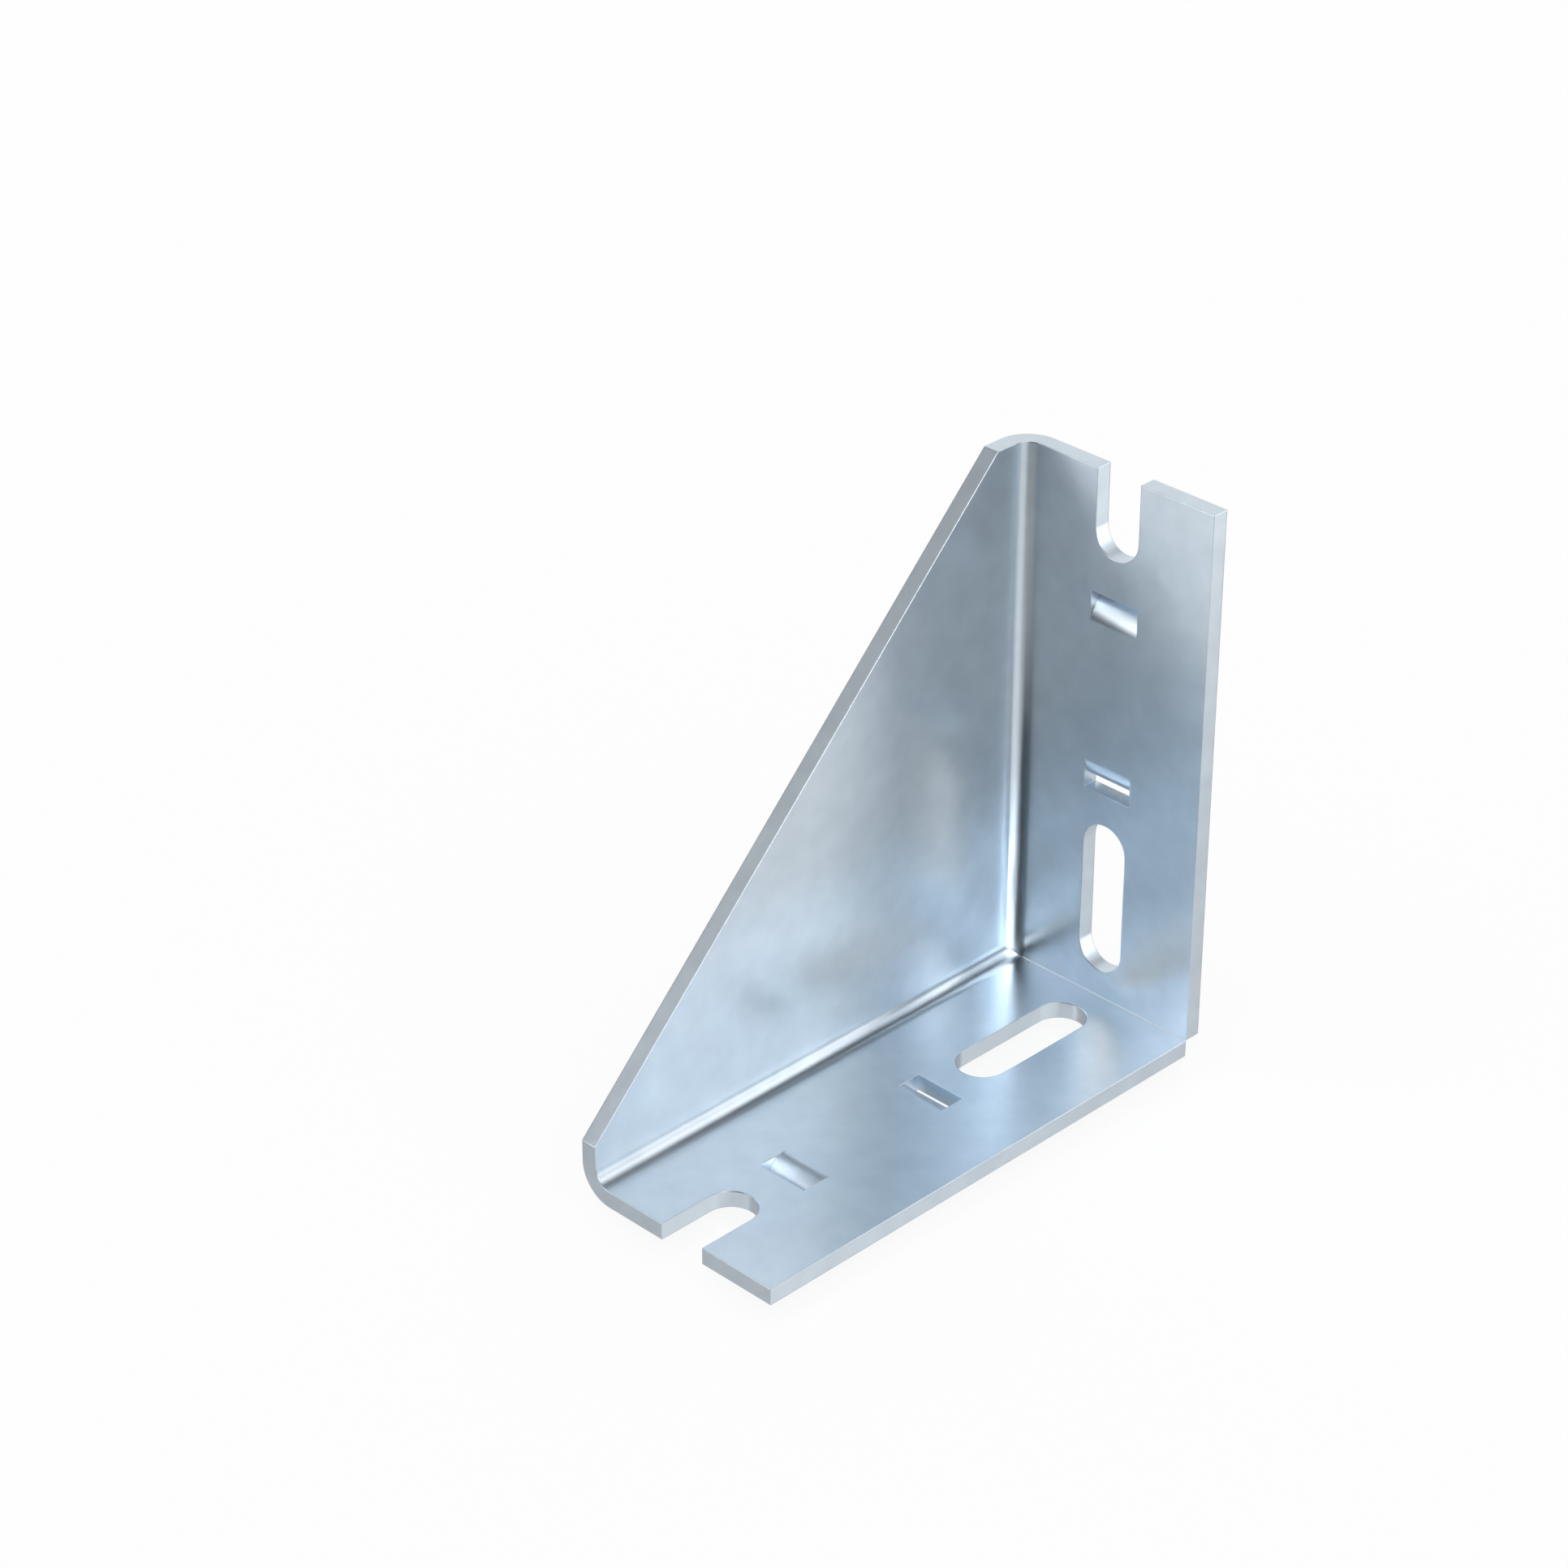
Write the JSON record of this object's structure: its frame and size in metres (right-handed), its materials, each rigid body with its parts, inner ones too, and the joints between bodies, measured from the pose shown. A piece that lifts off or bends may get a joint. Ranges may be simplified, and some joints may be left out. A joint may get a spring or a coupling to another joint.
{
  "type": "strut angle fitting",
  "caption": "Right-angle fitting folded from steel sheet, with slotted flanges that carry lanced lugs and a triangular web that stiffens them, for joining lengths of strut.",
  "frame": {"origin": "the corner where the planes of the two seating faces meet, on the centre line of the slots", "axes": "+X along the base flange to its free end, +Z along the upright flange to its free end, +Y across the flanges from the web to their free edges"},
  "size_m": [0.1022, 0.042, 0.1022],
  "materials": {
    "zinc_plate": "bright zinc plate, soft gloss"
  },
  "bodies": {
    "root": {"angle_fitting": "zinc_plate"}
  },
  "joints": []
}
